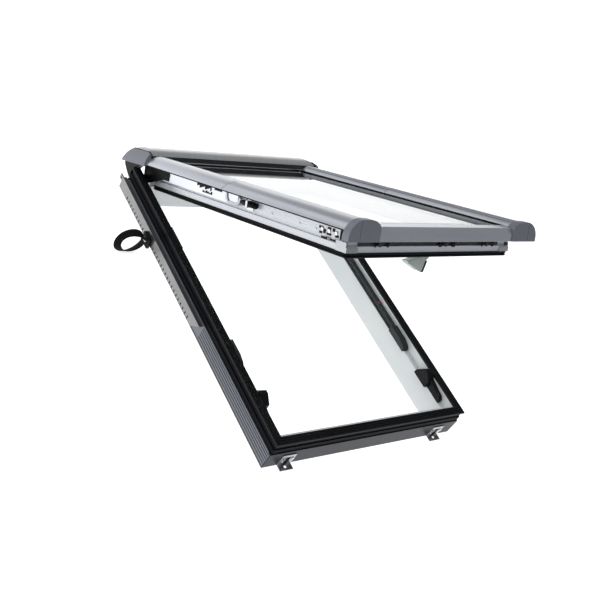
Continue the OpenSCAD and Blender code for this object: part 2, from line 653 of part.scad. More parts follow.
// Flat drive bar in the groove of the bottom edge, with three locking cams.
module lock_bar() color("silver") opened() {
    translate([-sash_hw + 30, bar_y, groove_z + 1]) cube([2 * sash_hw - 60, 2, groove_h - 2]);
    for (x = cam_x) translate([x, bar_y, groove_z + groove_h / 2]) rotate([90, 0, 0]) {
        cylinder(h = 7, r = 2.6);
        translate([0, 0, 7]) cylinder(h = 3, r = 4);
    }
}

rose_y = sash_y0 + 28;
rose_t = 4;
neck_z = sash_z0 - rose_t;

module handle_rose() color("white") opened() difference() {
    translate([handle_x - 32, rose_y - 7.5, sash_z0 - rose_t]) cube([64, 15, rose_t]);
    translate([handle_x, rose_y, 0]) cylinder(h = 100, r = 5 + pin_play);
}

module handle_lever() color("white") opened() {
    translate([handle_x, rose_y, neck_z - 24]) cylinder(h = 24 + rose_t - 0.3, r = 5);
    translate([0, rose_y + 9, 0]) rotate([90, 0, 0]) linear_extrude(18) polygon([
        [handle_x + 9, neck_z - 40], [handle_x + 13, neck_z - 34], [handle_x + 12, neck_z - 24],
        [handle_x - 12, neck_z - 24], [handle_x - handle_len + 13, neck_z - 14],
        [handle_x - handle_len + 13, neck_z - 21]]);
}

frame_profile();
dark_surround();
side_cover(-1);  // cover_left
side_cover(1);  // cover_right
end_cover(-1);  // cover_bottom
end_cover(1);  // cover_top
top_gasket();
channel(-1);  // channel_left
channel(1);  // channel_right
spring(-1);  // spring_left
spring(1);  // spring_right
batten_brackets();
bracket_screws();
hinge_bracket(-1);  // hinge_bracket_left
hinge_bracket(1);  // hinge_bracket_right
hinge_pins();
guide_rail(-1);  // guide_rail_left
guide_rail(1);  // guide_rail_right
rail_marks();
wedge(-1);  // wedge_left
wedge(1);  // wedge_right
guide_blocks();
striker_plates();
adjuster_block(-1);  // adjuster_block_left
adjuster_block(1);  // adjuster_block_right
adjuster_hook(-1);  // adjuster_hook_left
adjuster_hook(1);  // adjuster_hook_right
strap(-1);  // strap_left
strap(1);  // strap_right
arm(-1);  // arm_left
arm(1);  // arm_right
hinge_lever(-1);  // hinge_lever_left
hinge_lever(1);  // hinge_lever_right
hood();
hood_cap(-1);  // hood_cap_left
hood_cap(1);  // hood_cap_right
upper_cover(-1);  // upper_cover_left
upper_cover(1);  // upper_cover_right
pivot_pins();
sash_profile();
sash_gasket();
inner_pane();
outer_pane();
glass_spacer();
glazing_seal();
lower_cover(-1);  // lower_cover_left
lower_cover(1);  // lower_cover_right
bottom_cover();
corner_cap(-1);  // corner_cap_left
corner_cap(1);  // corner_cap_right
pivot_bearing(-1);  // pivot_bearing_left
pivot_bearing(1);  // pivot_bearing_right
lock_case(-1);  // lock_case_left
lock_case(1);  // lock_case_right
corner_angles();
rubber_blocks();
handle_rose();
lock_bar();
handle_lever();
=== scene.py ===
# %% [markdown]
# # A roof skylight, piece by piece
# The window comes ready as a set of exact solids in metres. This lesson dresses it: it gives each solid
# a soft edge and a finish, and it adds the small formed parts that a roof window carries, such as clips,
# screws, straps and locking gear. Every new surface is worked out with numpy as a whole grid of points.

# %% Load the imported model
import json
import math

import bmesh
import bpy
import numpy as np
from mathutils import Matrix, Vector


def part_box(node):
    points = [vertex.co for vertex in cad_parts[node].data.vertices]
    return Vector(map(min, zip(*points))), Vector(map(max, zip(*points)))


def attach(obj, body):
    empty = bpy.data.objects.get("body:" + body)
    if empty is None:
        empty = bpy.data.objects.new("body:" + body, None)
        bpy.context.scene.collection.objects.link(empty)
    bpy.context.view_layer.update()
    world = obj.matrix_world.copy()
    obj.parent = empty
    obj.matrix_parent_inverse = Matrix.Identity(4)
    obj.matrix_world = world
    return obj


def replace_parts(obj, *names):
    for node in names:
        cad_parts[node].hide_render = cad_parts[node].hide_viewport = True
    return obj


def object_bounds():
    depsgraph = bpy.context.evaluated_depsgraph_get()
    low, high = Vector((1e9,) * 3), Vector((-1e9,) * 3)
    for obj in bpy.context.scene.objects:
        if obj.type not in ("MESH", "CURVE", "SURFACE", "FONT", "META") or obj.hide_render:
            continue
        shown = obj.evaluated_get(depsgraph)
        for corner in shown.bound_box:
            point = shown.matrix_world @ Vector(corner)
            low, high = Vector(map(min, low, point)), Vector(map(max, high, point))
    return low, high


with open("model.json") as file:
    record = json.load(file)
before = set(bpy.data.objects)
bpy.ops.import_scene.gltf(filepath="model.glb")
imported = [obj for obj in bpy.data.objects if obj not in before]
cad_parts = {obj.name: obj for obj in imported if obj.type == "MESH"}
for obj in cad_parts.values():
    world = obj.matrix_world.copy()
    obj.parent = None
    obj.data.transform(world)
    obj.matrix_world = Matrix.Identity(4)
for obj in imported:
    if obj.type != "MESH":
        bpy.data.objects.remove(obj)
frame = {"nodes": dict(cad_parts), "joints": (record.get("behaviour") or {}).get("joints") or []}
cad_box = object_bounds()
nodes = frame["nodes"]
scene = bpy.context.scene
MM = 0.001
SIDES = ((-1, "left"), (1, "right"))
print("nodes", len(nodes), "box", [tuple(round(v, 3) for v in c) for c in cad_box])

# %% [markdown]
# The sash stands open on its top hinge. It is far easier to think of a sash part as it sits in the closed
# window, square to the roof, and to turn the finished part open. The hinge joint tells where its axis is
# and how far the window is from closed, so one small function does that for every point.

# %% From closed to open
hinge = next(j for j in frame["joints"] if j["name"] == "top_hinge")
HINGE = np.array(hinge["pos_m"]) / MM
OPEN = math.radians(-hinge["range_deg"][0])


def opened(points):
    """Turns closed-window points, in millimetres, about the hinge line: y and z swing by the open angle."""
    p = np.array(points, float)
    dy, dz = p[..., 1] - HINGE[1], p[..., 2] - HINGE[2]
    c, s = math.cos(OPEN), math.sin(OPEN)
    p[..., 1] = HINGE[1] + dy * c + dz * s
    p[..., 2] = HINGE[2] - dy * s + dz * c
    return p


def opened_way(direction):
    """Turns a direction in the closed window, or a list of them, the same way."""
    return opened(np.asarray(direction) + [0, HINGE[1], HINGE[2]]) - [0, HINGE[1], HINGE[2]]


def open_piece(obj):
    """Swings a piece that was built in the closed window to its place on the open sash."""
    co = np.array([v.co for v in obj.data.vertices]) / MM
    obj.data.vertices.foreach_set("co", (opened(co) * MM).ravel())
    obj.data.update()
    return obj


def closed_box(node):
    """The corners of a sash solid as it sits in the closed window, in millimetres."""
    co = np.array([v.co for v in nodes[node].data.vertices]) / MM
    dy, dz = co[:, 1] - HINGE[1], co[:, 2] - HINGE[2]
    c, s = math.cos(OPEN), math.sin(OPEN)
    co[:, 1], co[:, 2] = HINGE[1] + dy * c - dz * s, HINGE[2] + dy * s + dz * c
    return co.min(0), co.max(0)


def rest_box(node):
    """The corners of a solid at rest, in millimetres."""
    lo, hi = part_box(node)
    return np.array(lo) / MM, np.array(hi) / MM


print("opened by", round(math.degrees(OPEN), 1), "degrees")

# %% [markdown]
# The camera stands high to the left of the lower edge and looks across the window, so that the frame's
# left side, its lower edge and the top of the sash all show. Its three axes are given as unit vectors.

# %% Camera
camera = bpy.data.objects.new("camera", bpy.data.cameras.new("camera"))
scene.collection.objects.link(camera)
right = np.array([0.77018798, -0.44468097, 0.45724098])
down = np.array([-0.04833516, -0.75551552, -0.65334524])
forward = np.array([0.63598286, 0.48109784, -0.6033827])
eye = np.array([-1.3425, -1.0710, 1.3465])
turn = np.eye(4)
turn[:3, 0], turn[:3, 1], turn[:3, 2], turn[:3, 3] = right, -down, -forward, eye
camera.matrix_world = Matrix(turn.tolist())
LENS_MM, SENSOR_MM, FAR = 54.43, 36, 50
camera.data.lens, camera.data.sensor_width, camera.data.clip_end = LENS_MM, SENSOR_MM, FAR
scene.camera = camera
print("camera at", eye)

# %% [markdown]
# ## Building surfaces
# Almost every part here is a grid of points with one of three rules: a section carried along a path, a
# profile turned round an axis, or a flat outline given a thickness. Each rule ends in the same small
# function that turns a grid into a mesh, so the parts themselves stay short.


# %% A grid becomes a mesh
def shade_smooth(mesh):
    """Lets the light run smoothly over every face of a mesh."""
    mesh.polygons.foreach_set("use_smooth", np.ones(len(mesh.polygons), bool))


def mesh_of(name, points, faces, body, smooth=True):
    """Makes an object from points in millimetres and a list of faces, and lets it ride on a body."""
    mesh = bpy.data.meshes.new(name)
    mesh.from_pydata((np.asarray(points, float) * MM).tolist(), [], [list(map(int, f)) for f in faces])
    mesh.update()
    if smooth:
        shade_smooth(mesh)
    obj = bpy.data.objects.new(name, mesh)
    scene.collection.objects.link(obj)
    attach(obj, body)
    return obj


def grid_faces(nu, nv, wrap_u, wrap_v, start=0):
    """Four-sided faces between neighbours of an nu by nv grid, joined round where a direction wraps."""
    i = np.arange(nu if wrap_u else nu - 1)[:, None]
    j = np.arange(nv if wrap_v else nv - 1)[None, :]
    i, j = np.broadcast_arrays(i, j)
    i2, j2 = (i + 1) % nu, (j + 1) % nv
    f = np.stack([i * nv + j, i2 * nv + j, i2 * nv + j2, i * nv + j2], -1)
    return f.reshape(-1, 4) + start


def outward(obj):
    """Points every face of a closed shell away from its inside."""
    b = bmesh.new()
    b.from_mesh(obj.data)
    bmesh.ops.remove_doubles(b, verts=b.verts, dist=1e-7)
    bmesh.ops.recalc_face_normals(b, faces=b.faces)
    b.to_mesh(obj.data)
    b.free()
    return obj


# %% A section carried along a path
def swept(name, section, path, side, up, body, wrap=False):
    """Point (i, j) is path i plus section j's first number along side i and its second along up i.
    The section is a closed loop, and the two ends are closed by flat faces unless the path wraps."""
    path, section = np.asarray(path, float), np.asarray(section, float)
    side, up = np.broadcast_to(side, path.shape), np.broadcast_to(up, path.shape)
    p = path[:, None] + side[:, None] * section[None, :, :1] + up[:, None] * section[None, :, 1:2]
    n, m = len(path), len(section)
    faces = list(grid_faces(n, m, wrap, True))
    if not wrap:
        faces += [list(range(m))[::-1], list(range((n - 1) * m, n * m))]
    return outward(mesh_of(name, p.reshape(-1, 3), faces, body, smooth=False))


# %% A profile turned round an axis
def turned(profile, centre, axis, steps=20):
    """Point (i, j) is the centre plus profile j's height along the axis and its radius at angle i.
    The profile starts and ends on the axis, so the shell is closed."""
    axis = np.asarray(axis, float) / np.linalg.norm(axis)
    side = np.cross(axis, [1, 0, 0] if abs(axis[0]) < 0.9 else [0, 1, 0])
    side /= np.linalg.norm(side)
    up = np.cross(axis, side)
    angle = np.linspace(0, 2 * np.pi, steps, endpoint=False)
    ring = np.cos(angle)[:, None] * side + np.sin(angle)[:, None] * up
    profile = np.asarray(profile, float)
    p = np.asarray(centre, float) + ring[:, None] * profile[None, :, :1] + axis * profile[None, :, 1:2]
    return p.reshape(-1, 3), grid_faces(steps, len(profile), True, False)


def many(name, parts, body, smooth=True):
    """Joins several (points, faces) sets into one piece."""
    points, faces, at = [], [], 0
    for p, f in parts:
        points.append(np.asarray(p, float))
        faces += [[int(k) + at for k in face] for face in f]
        at += len(p)
    return outward(mesh_of(name, np.concatenate(points), faces, body, smooth))


# %% A flat outline given a thickness
def plate(outline, x0, x1):
    """An outline in y and z, carried from x0 to x1, as points and faces of a closed prism."""
    o = np.asarray(outline, float)
    n = len(o)
    p = np.zeros((2 * n, 3))
    p[:n, 0], p[n:, 0] = x0, x1
    p[:n, 1:], p[n:, 1:] = o, o
    k = np.arange(n)
    sides = np.stack([k, (k + 1) % n, n + (k + 1) % n, n + k], 1)
    return p, [list(range(n))[::-1], list(range(n, 2 * n)), *sides]


def across(side, a, b):
    """Two places across the window, measured outward from its middle on one side, in rising order."""
    return min(side * a, side * b), max(side * a, side * b)


def block(lo, hi):
    """A box from its lowest to its highest corner, as points and faces."""
    (x0, y0, z0), (x1, y1, z1) = lo, hi
    return plate([[y0, z0], [y1, z0], [y1, z1], [y0, z1]], x0, x1)


def disc(radius, bulge, depth, centre, axis, steps=20):
    """A low domed head, as of a screw or a rivet: radius, bulge above its rim and depth below it."""
    t = np.linspace(0, np.pi / 2, 4)
    dome = np.stack([radius * np.sin(t), depth + bulge * np.cos(t)], 1)
    return turned(np.concatenate([dome, [[radius, 0], [0, 0]]]), centre, axis, steps)


def soften(obj, width=0.4, segments=2, angle=32):
    """Rounds the sharp edges, because no real edge is a perfect corner and a small radius catches light."""
    weld = obj.modifiers.new("weld", "WELD")
    weld.merge_threshold = 1e-6
    bevel = obj.modifiers.new("bevel", "BEVEL")
    bevel.width, bevel.segments = width * MM, segments
    bevel.limit_method, bevel.angle_limit = "ANGLE", math.radians(angle)
    bevel.use_clamp_overlap = True
    bevel.harden_normals = False
    return obj


# %% [markdown]
# ## Finishes
# A finish is a base colour that drifts a little, a roughness that drifts with it and a fine bump. Real
# powder coat has orange peel, extruded profile has faint lengthwise lines and zinc sheet is brushed, so
# one helper takes the scale and the stretch of each pattern. All read Object coordinates, in metres.


# %% The finish helper
def finish(name, dark, light, rough=(0.3, 0.45), metal=0.0, drift=6.0, grain=900.0, stretch=(1, 1, 1),
           bump=0.15, depth=0.0002, coat=0.0, turn_x=0.0, shine=0.5):
    """Mixes two colours by a slow noise, and sets roughness and bump by a fast one."""
    m = bpy.data.materials.new(name)
    m.use_nodes = True
    nt = m.node_tree
    b = nt.nodes["Principled BSDF"]
    where = nt.nodes.new("ShaderNodeTexCoord")
    place = nt.nodes.new("ShaderNodeMapping")
    # A texture mapping turns before it stretches, so the lines run along a tilted part.
    place.vector_type = "TEXTURE"
    place.inputs["Rotation"].default_value = (-turn_x, 0, 0)
    place.inputs["Scale"].default_value = [1 / v for v in stretch]
    nt.links.new(where.outputs["Object"], place.inputs["Vector"])
    slow, fast = nt.nodes.new("ShaderNodeTexNoise"), nt.nodes.new("ShaderNodeTexNoise")
    slow.inputs["Scale"].default_value, slow.inputs["Detail"].default_value = drift, 4
    fast.inputs["Scale"].default_value, fast.inputs["Detail"].default_value = grain, 3
    nt.links.new(where.outputs["Object"], slow.inputs["Vector"])
    nt.links.new(place.outputs["Vector"], fast.inputs["Vector"])
    ramp = nt.nodes.new("ShaderNodeValToRGB")
    ramp.color_ramp.elements[0].position, ramp.color_ramp.elements[1].position = 0.3, 0.7
    ramp.color_ramp.elements[0].color, ramp.color_ramp.elements[1].color = (*dark, 1), (*light, 1)
    nt.links.new(slow.outputs["Fac"], ramp.inputs["Fac"])
    nt.links.new(ramp.outputs["Color"], b.inputs["Base Color"])
    span = nt.nodes.new("ShaderNodeMapRange")
    span.inputs["To Min"].default_value, span.inputs["To Max"].default_value = rough
    nt.links.new(fast.outputs["Fac"], span.inputs["Value"])
    nt.links.new(span.outputs["Result"], b.inputs["Roughness"])
    bumps = nt.nodes.new("ShaderNodeBump")
    bumps.inputs["Strength"].default_value, bumps.inputs["Distance"].default_value = bump, depth
    nt.links.new(fast.outputs["Fac"], bumps.inputs["Height"])
    nt.links.new(bumps.outputs["Normal"], b.inputs["Normal"])
    b.inputs["Metallic"].default_value = metal
    b.inputs["Coat Weight"].default_value = coat
    b.inputs["Specular IOR Level"].default_value = shine
    return m


# %% [markdown]
# The covers are aluminium with a metallic powder coat: half metal, half paint, so they show long soft
# reflections but keep their blue grey. The profile is satin white plastic, the seals are dull rubber and
# the fittings are bright zinc, which is nearly all reflection.

# %% The finishes of this window
cover_paint = finish("cover_paint", (0.45, 0.465, 0.505), (0.5, 0.515, 0.555), (0.24, 0.32), 0.85,
                     5, 1400, bump=0.05, depth=0.0001)
cap_paint = finish("cap_plastic", (0.15, 0.155, 0.185), (0.175, 0.18, 0.21), (0.34, 0.46), 0.3, 8, 1800, bump=0.12)
hood_paint = finish("hood_paint", (0.44, 0.445, 0.45), (0.48, 0.485, 0.49), (0.22, 0.3), 0.9, 5, 1400,
                    bump=0.05, depth=0.0001)
frame_paint = finish("frame_cover_paint", (0.15, 0.16, 0.185), (0.18, 0.19, 0.215), (0.3, 0.42), 0.6, 4, 1200,
                     stretch=(1, 0.04, 1), bump=0.08, depth=0.0001)
# A darker copy of the frame cover paint for the front and back covers and the side covers' ribs: painted shade on
# faces turned from the key light.
shaded_cover_paint = finish("front_cover_painted_shade", (0.02, 0.022, 0.027), (0.03, 0.033, 0.04), (0.3, 0.42), 0.5, 4, 1200,
                    stretch=(0.04, 1, 1), bump=0.08, depth=0.0001, shine=0.15)
profile_white = finish("profile_white", (0.62, 0.635, 0.65), (0.68, 0.69, 0.70), (0.28, 0.4), 0.0, 3, 700,
                       stretch=(1, 0.05, 1), bump=0.05, depth=0.0001, coat=0.1)
sash_white = finish("sash_white", (0.6, 0.62, 0.66), (0.66, 0.68, 0.72), (0.22, 0.34), 0.3, 3, 700,
                    stretch=(1, 0.05, 1), bump=0.01, depth=0.0001, turn_x=OPEN)
surround_black = finish("surround_black", (0.002, 0.0025, 0.004), (0.004, 0.0045, 0.007), (0.35, 0.55), 0.0, 5, 900,
                        stretch=(1, 0.05, 1), bump=0.1, shine=0.04)
gasket_rubber = finish("gasket_rubber", (0.002, 0.0025, 0.003), (0.005, 0.006, 0.007), (0.42, 0.6), 0.0, 9, 1600,
                       bump=0.2, shine=0.16)
rubber = finish("seal_rubber", (0.003, 0.003, 0.004), (0.006, 0.006, 0.007), (0.42, 0.62), 0.0, 9, 1600, bump=0.2,
                shine=0.08)
zinc = finish("zinc_sheet", (0.40, 0.41, 0.43), (0.50, 0.51, 0.53), (0.2, 0.36), 1.0, 10, 500,
              stretch=(1, 0.08, 1), bump=0.12)
arm_zinc = finish("arm_zinc", (0.66, 0.68, 0.72), (0.76, 0.78, 0.82), (0.24, 0.36), 0.85, 6, 500,
                  stretch=(1, 0.06, 1), bump=0.015, turn_x=OPEN)
bright = finish("bright_steel", (0.6, 0.61, 0.63), (0.72, 0.73, 0.74), (0.14, 0.26), 1.0, 14, 1200, bump=0.08)
black_moulding = finish("black_moulding", (0.003, 0.0035, 0.004), (0.007, 0.0075, 0.008), (0.33, 0.5), 0.0, 9, 1500,
                        bump=0.2, shine=0.12)
rail_grey = finish("rail_grey", (0.018, 0.021, 0.023), (0.028, 0.032, 0.034), (0.35, 0.5), 0.1, 9, 1400, bump=0.15,
                   shine=0.25)
red_ring = finish("red_ring", (0.45, 0.03, 0.07), (0.55, 0.05, 0.1), (0.3, 0.4), 0.0, 9, 1400, bump=0.1)
handle_grey = finish("handle_grey", (0.42, 0.47, 0.45), (0.5, 0.54, 0.52), (0.25, 0.4), 0.0, 9, 1400, bump=0.08)
spacer_black = finish("spacer_black", (0.01, 0.011, 0.013), (0.018, 0.02, 0.022), (0.35, 0.5), 0.2, 9, 1400)
channel_zinc = finish("channel_zinc", (0.22, 0.22, 0.225), (0.29, 0.29, 0.295), (0.25, 0.4), 0.9, 12, 500,
                      stretch=(1, 0.08, 1), bump=0.08)
bar_steel = finish("drive_bar_steel", (0.03, 0.033, 0.037), (0.06, 0.064, 0.07), (0.3, 0.45), 0.7, 12, 900, bump=0.05)
# A near-black paint for the hood's front face: painted reflection and shade, as the sheet itself is the hood's grey.
front_painted_shade = finish("hood_front_painted_shade", (0.016, 0.018, 0.02), (0.024, 0.026, 0.029), (0.25, 0.35), 0.3, 5, 1400,
                    bump=0.05, shine=0.3)
webbing = finish("strap_webbing", (0.004, 0.004, 0.0045), (0.012, 0.012, 0.013), (0.6, 0.85), 0.0, 40, 520,
                 stretch=(1, 2.2, 1), bump=0.7, depth=0.0006, shine=0.12)
print("finishes", len(bpy.data.materials))

# %% [markdown]
# Glass needs two answers. To the eye it is clear, faintly green and shiny at a low angle. To a lamp it
# should simply let light through, or the room below would be black, so shadow rays see it as open.


# %% Glass
def clear_glass(name, tint, rough):
    """Clear glass that lets lamp light straight through."""
    m = bpy.data.materials.new(name)
    m.use_nodes = True
    nt = m.node_tree
    b = nt.nodes["Principled BSDF"]
    b.inputs["Base Color"].default_value = (*tint, 1)
    b.inputs["Transmission Weight"].default_value = 1.0
    b.inputs["Roughness"].default_value = rough
    b.inputs["IOR"].default_value = 1.5
    through = nt.nodes.new("ShaderNodeBsdfTransparent")
    through.inputs["Color"].default_value = (*tint, 1)
    lamp, mix = nt.nodes.new("ShaderNodeLightPath"), nt.nodes.new("ShaderNodeMixShader")
    nt.links.new(lamp.outputs["Is Shadow Ray"], mix.inputs["Fac"])
    nt.links.new(b.outputs["BSDF"], mix.inputs[1])
    nt.links.new(through.outputs["BSDF"], mix.inputs[2])
    nt.links.new(mix.outputs["Shader"], nt.nodes["Material Output"].inputs["Surface"])
    return m


glass = clear_glass("pane_glass", (0.945, 0.972, 0.96), 0.0)

# %% Dress the solids
DRESS = {
    profile_white: "frame_profile",
    sash_white: "sash_profile",
    surround_black: "dark_surround",
    frame_paint: "cover_left cover_right",
    # The front and back covers take the darker copy of the cover paint: painted shade.
    shaded_cover_paint: "cover_bottom cover_top",
    gasket_rubber: "top_gasket",
    rubber: "sash_gasket glazing_seal rubber_blocks",
    webbing: "strap_left strap_right",
    arm_zinc: "arm_left arm_right",
    channel_zinc: "channel_left channel_right",
    bar_steel: "lock_bar",
    zinc: "batten_brackets hinge_bracket_left hinge_bracket_right striker_plates "
          "lock_case_left lock_case_right corner_angles pivot_bearing_left "
          "pivot_bearing_right",
    bright: "spring_left spring_right bracket_screws hinge_pins adjuster_hook_left adjuster_hook_right pivot_pins",
    rail_grey: "guide_rail_left guide_rail_right",
    black_moulding: "wedge_left wedge_right guide_blocks adjuster_block_left adjuster_block_right "
                    "hinge_lever_left hinge_lever_right",
    red_ring: "rail_marks",
    hood_paint: "hood",
    cap_paint: "hood_cap_left hood_cap_right corner_cap_left corner_cap_right",
    cover_paint: "upper_cover_left upper_cover_right lower_cover_left lower_cover_right bottom_cover",
    spacer_black: "glass_spacer",
    glass: "inner_pane outer_pane",
    handle_grey: "handle_rose handle_lever",
}
SOFT_EDGE = {"inner_pane": 0.3, "outer_pane": 0.3, "rail_marks": 0.2, "spring_left": 0, "spring_right": 0,
             "lock_case_left": 0.25, "lock_case_right": 0.25, "glazing_seal": 0.15, "handle_lever": 1.6,
             "wedge_left": 1.2, "wedge_right": 1.2, "guide_rail_left": 1.0, "guide_rail_right": 1.0,
             "guide_blocks": 1.2, "hood_cap_left": 0.8, "hood_cap_right": 0.8, "rubber_blocks": 1.2}
for material, names in DRESS.items():
    for node in names.split():
        obj = nodes[node]
        obj.data.materials.clear()
        obj.data.materials.append(material)
        width = SOFT_EDGE.get(node, 0.4)
        if width:
            soften(obj, width)
            obj.modifiers.new("normals", "WEIGHTED_NORMAL")
        shade_smooth(obj.data)
dressed = {node for names in DRESS.values() for node in names.split()}
print("undressed", [n for n in nodes if n not in dressed])


def paint(obj, material):
    """Gives a new piece its finish."""
    obj.data.materials.clear()
    obj.data.materials.append(material)
    return obj


# %% [markdown]
# ## The hood and its seals
# The hood is a rounded sheet with a moulded cap on each end. A black ring shows where they meet, and a
# bright bead and a rubber lip close the gap between the hood's front and the glass.

# %% Hood rings, bead and lip
GLASS_Z = closed_box("outer_pane")[1][2]
hood_lo, hood_hi = closed_box("hood")
HOOD_LENGTH = hood_hi[1] - hood_lo[1]
CREST = [(0, -13), (0.03, -11), (0.12, -7.3), (0.23, -3.5), (0.35, -1), (0.45, 0), (0.58, -0.8), (0.69, -3.5),
         (0.8, -9.5), (0.885, -18.5), (0.95, -28.5), (1.0, -36)]
share = np.linspace(0, 1, 40)
crest_y = hood_lo[1] + share * HOOD_LENGTH
crest_z = hood_hi[2] + np.interp(share, [c[0] for c in CREST], [c[1] for c in CREST])
cap_lo, cap_hi = closed_box("hood_cap_right")
RING_X = hood_hi[0]


def hood_path(x, proud):
    """The hood's line over its top at a given place across, standing proud of its skin."""
    reach = np.clip((abs(x) - (RING_X - 24)) / 40, 0, 1)
    limit = GLASS_Z - 13 + (hood_hi[2] + 1 - GLASS_Z + 13) * math.sqrt(1 - reach ** 2)
    z = np.minimum(crest_z, limit)
    front = [[hood_lo[1], GLASS_Z + 3], [hood_lo[1], (GLASS_Z + 3 + z[0]) / 2]]
    line = np.array(front + list(zip(crest_y, z)))
    tangent = np.gradient(line, axis=0)
    tangent /= np.linalg.norm(tangent, axis=1)[:, None]
    normal = np.stack([-tangent[:, 1], tangent[:, 0]], 1)
    return line + normal * proud, normal


for side, word in SIDES:
    line, normal = hood_path(RING_X, 0.9)
    path = np.column_stack([np.full(len(line), side * (RING_X - 1.6)), line])
    up = np.column_stack([np.zeros(len(line)), normal])
    band = [(-1.6, -1.2), (1.6, -1.2), (1.6, 0.9), (0.9, 1.3), (-0.9, 1.3), (-1.6, 0.9)]
    ring = swept("hood_ring_" + word, band, opened(path), (1, 0, 0), opened_way(up), "arms")
    paint(ring, rubber)

lip_x, hood_y = RING_X - 2, hood_lo[1]
bead = many("hood_bead", [block((-lip_x, hood_y - 0.9, GLASS_Z + 2.1), (lip_x, hood_y + 1.5, GLASS_Z + 4.2))],
            "arms", smooth=False)
paint(soften(open_piece(bead), 0.5), bright)
lip = many("hood_lip", [block((-lip_x, hood_y - 0.4, GLASS_Z + 1.0), (lip_x, hood_y + 2.4, GLASS_Z + 2.2))],
           "arms", smooth=False)
paint(open_piece(lip), rubber)

# %% Hood front and skirts
# A thin near-black plate over the hood's front: painted reflection and shade on the grey sheet.
front = many("hood_front", [block((-lip_x, hood_y - 0.35, GLASS_Z + 4.3), (lip_x, hood_y - 0.02, hood_hi[2] - 13.4))],
             "arms", smooth=False)
paint(open_piece(front), front_painted_shade)
SKIRT_R = 37.5
arc = [(HINGE[1] + SKIRT_R * math.cos(a), HINGE[2] + SKIRT_R * math.sin(a))
       for a in np.radians(np.arange(8, 84, 8))]
low = cap_lo[2] + 1.5
skirt_line = [*arc, (HINGE[1] - 8, low - 1.5), (HINGE[1] - 22, low), (hood_hi[1] - 5, low + 3),
              (hood_hi[1] - 7, low - 9), (hood_hi[1] - 18, low - 24), (HINGE[1] + 41, HINGE[2] + 4.5)]
# Black plates under the hood's ends: partly the hood's dark side skirts, partly painted shade between hood and frame.
for side, word in SIDES:
    a, b = across(side, RING_X - 8.8, cap_hi[0] - 5)
    paint(soften(open_piece(many("hood_skirt_and_shade_" + word, [plate(skirt_line, a, b)], "arms", False)), 0.6),
          black_moulding)

# %% [markdown]
# ## Seals under the side covers
# A black strip lies inside the outer lip of each side cover, and a thin wiper lies on the glass along the
# inner edge. Both are cut at the pivot like the covers they belong to.

# %% Strips along the covers
upper_lo, upper_hi = closed_box("upper_cover_right")
lower_lo, lower_hi = closed_box("lower_cover_right")
lip_z = GLASS_Z - 5
for side, word in SIDES:
    for where, lo, hi, body in (("upper", upper_lo[1] + 12, upper_hi[1] - 1, "arms"),
                                ("lower", lower_lo[1] + 1, lower_hi[1] - 2, "sash")):
        x0, x1 = across(side, upper_hi[0] - 8.5, upper_hi[0] - 3.2)
        lip_strip = block((x0, lo, lip_z - 3.2), (x1, hi, lip_z + 0.4))
        x0, x1 = across(side, lower_lo[0] - 1.4, lower_lo[0] + 1.5)
        wiper = block((x0, lo, GLASS_Z + 0.15), (x1, hi, GLASS_Z + 2.2))
        lines = []
        for x, z in ((lower_lo[0] + 7, GLASS_Z + 11), (lower_lo[0] + 14, GLASS_Z + 14.4)):
            a, b = across(side, x - 0.4, x + 0.4)
            lines.append(block((a, lo, z - 1), (b, hi, z + 0.15)))
        strips = many(f"cover_strip_{where}_{word}", [lip_strip, wiper, *lines], body, smooth=False)
        paint(open_piece(strips), rubber)

# %% Seams at the pivot and ribs on the frame's side covers
# A side cover is a quarter round: the seam follows it from its crown to its outer lip, leaning up the window.
COVER_FOOT_Z, COVER_WIDE, COVER_TALL, SEAM_LEAN = GLASS_Z - 12, 37.4, 26.4, 11 / 21.5
RIB_HEIGHTS, RIB_PROUD = (4, 12, 19, 26, 33, 39), 0.5
arc_angle = np.radians(np.linspace(92, 17, 12))
arc_x = upper_hi[0] - 38 + COVER_WIDE * np.cos(arc_angle)
arc_z = COVER_FOOT_Z + COVER_TALL * np.sin(arc_angle)
seam_base = upper_lo[1] + 10.4
for side, word in SIDES:
    seam_line = np.column_stack([side * arc_x, seam_base - SEAM_LEAN * (arc_z - COVER_FOOT_Z - 6.5), arc_z])
    outside = np.column_stack([side * np.cos(arc_angle), np.zeros(12), np.sin(arc_angle)])
    band = [(-0.8, -0.9), (0.8, -0.9), (0.8, 0.35), (-0.8, 0.35)]
    seam = open_piece(swept("pivot_seam_" + word, band, seam_line, (0, 1, 0), outside, "arms"))
    paint(seam, rubber)
    cover_lo, cover_hi = rest_box("cover_" + word)
    channel_lo = rest_box("channel_" + word)[0]
    face = cover_hi[0] if side > 0 else cover_lo[0]
    ribs = []
    for z in RIB_HEIGHTS:
        y1 = cover_hi[1] - 2 if z < channel_lo[2] - 3 else channel_lo[1] - 3
        a, b = sorted((face, face + side * RIB_PROUD))
        ribs.append(block((a, cover_lo[1] + 1, z - 0.7), (b, y1, z + 0.7)))
    # The ribs take the darker cover paint, so they show as dark lines of painted shade.
    paint(many("cover_ribs_" + word, ribs, "frame", False), shaded_cover_paint)

# %% [markdown]
# ## Fittings on the sides of the sash
# Each side of the sash carries a turn stop near the pivot, a row of lock teeth, a locking case with
# rollers and a damper. They stand a few millimetres off the side, inside the line of the frame's wall.

# %% Turn stops, teeth, rollers and dampers
case_lo = closed_box("lock_case_right")[0]
ARM_X, SASH_X = closed_box("arm_right")[1][0], closed_box("sash_profile")[1][0]
stop = [(40, 88), (38, 75), (29, 67.5), (2, 67.5), (-11, 72), (-16, 85), (-10, 87), (-6, 77), (4, 73), (27, 73),
        (32, 79), (34, 89)]
# The damper's radius and height, from its foot to its tip.
DAMPER = [[0, -28], [3.6, -28], [3.6, -26], [6, -26], [6, 14], [5.2, 15], [5.2, 18], [3.0, 19], [3.0, 27], [0, 27]]
